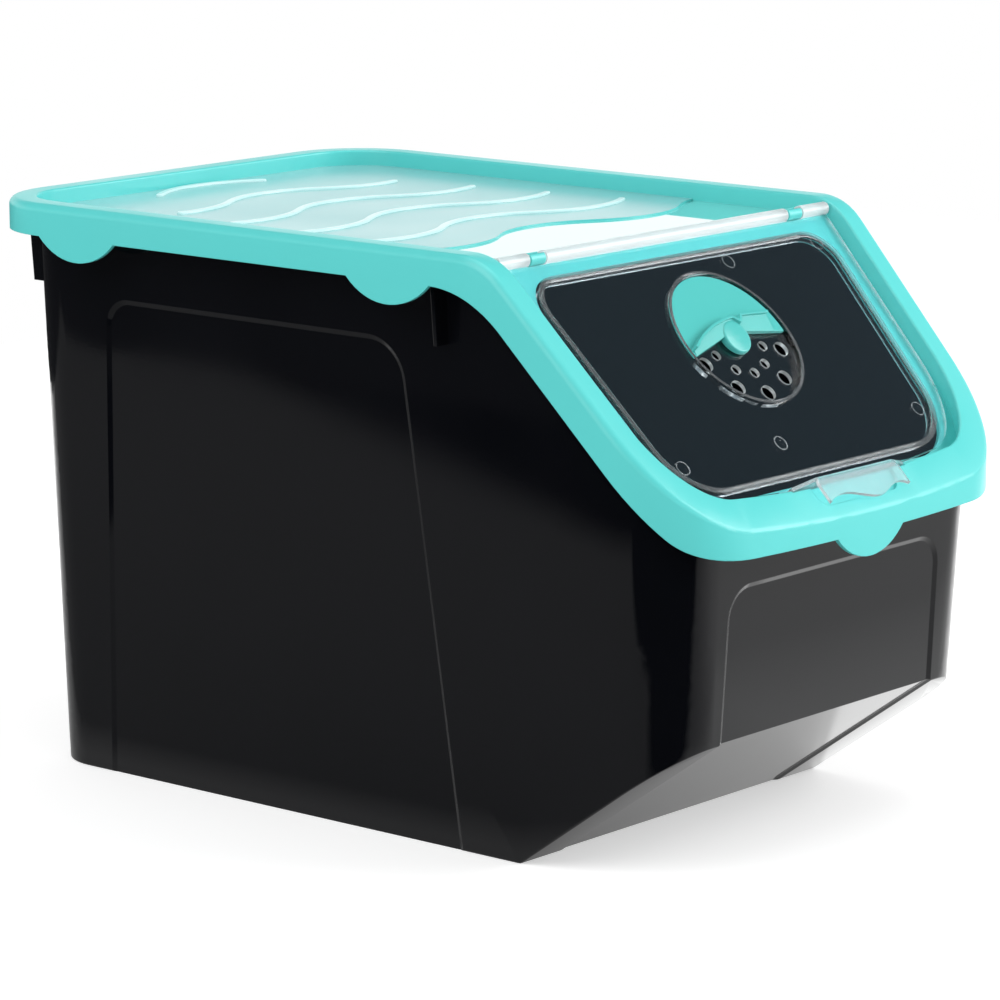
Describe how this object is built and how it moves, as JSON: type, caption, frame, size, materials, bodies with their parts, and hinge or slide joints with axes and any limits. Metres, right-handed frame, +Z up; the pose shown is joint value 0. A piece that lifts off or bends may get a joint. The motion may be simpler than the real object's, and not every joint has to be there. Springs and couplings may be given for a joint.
{
  "type": "produce storage bin",
  "caption": "Tapered kitchen bin for dry produce with a bent lift-off lid, a see-through sloped hatch that swings open and a turning vent shutter.",
  "frame": {"origin": "centre of the overall footprint on the floor, which the bin's base rests on", "axes": "+Z up, +Y towards the rear, so the nose with the hatch points along -Y, +X to the right when looking along +Y"},
  "size_m": [0.246, 0.3913, 0.2505],
  "materials": {
    "bin_plastic": "glossy black",
    "lid_plastic": "glossy teal, with a frosted level panel",
    "seal_rubber": "soft matt silicone",
    "clear_plastic": "clear, glossy",
    "shutter_plastic": "glossy teal"
  },
  "bodies": {
    "bin": {"bin_body": "bin_plastic"},
    "lid": {"lid": "lid_plastic", "lid_seal": "seal_rubber"},
    "hatch": {"hatch": "clear_plastic"},
    "shutter": {"vent_shutter": "shutter_plastic"}
  },
  "joints": [
    {"name": "lid_lift", "type": "slide", "parent": "bin", "child": "lid", "axis": [0, 0, 1], "range_m": [0, 0.15]},
    {"name": "hatch_hinge", "type": "hinge", "parent": "lid", "child": "hatch", "pos_m": [0, -0.08982, 0.24565], "axis": [-1, 0, 0], "range_deg": [0, 221]},
    {"name": "vent_turn", "type": "hinge", "parent": "hatch", "child": "shutter", "pos_m": [0, -0.12494, 0.20569], "axis": [0, -0.7206, 0.6934], "continuous": true}
  ]
}
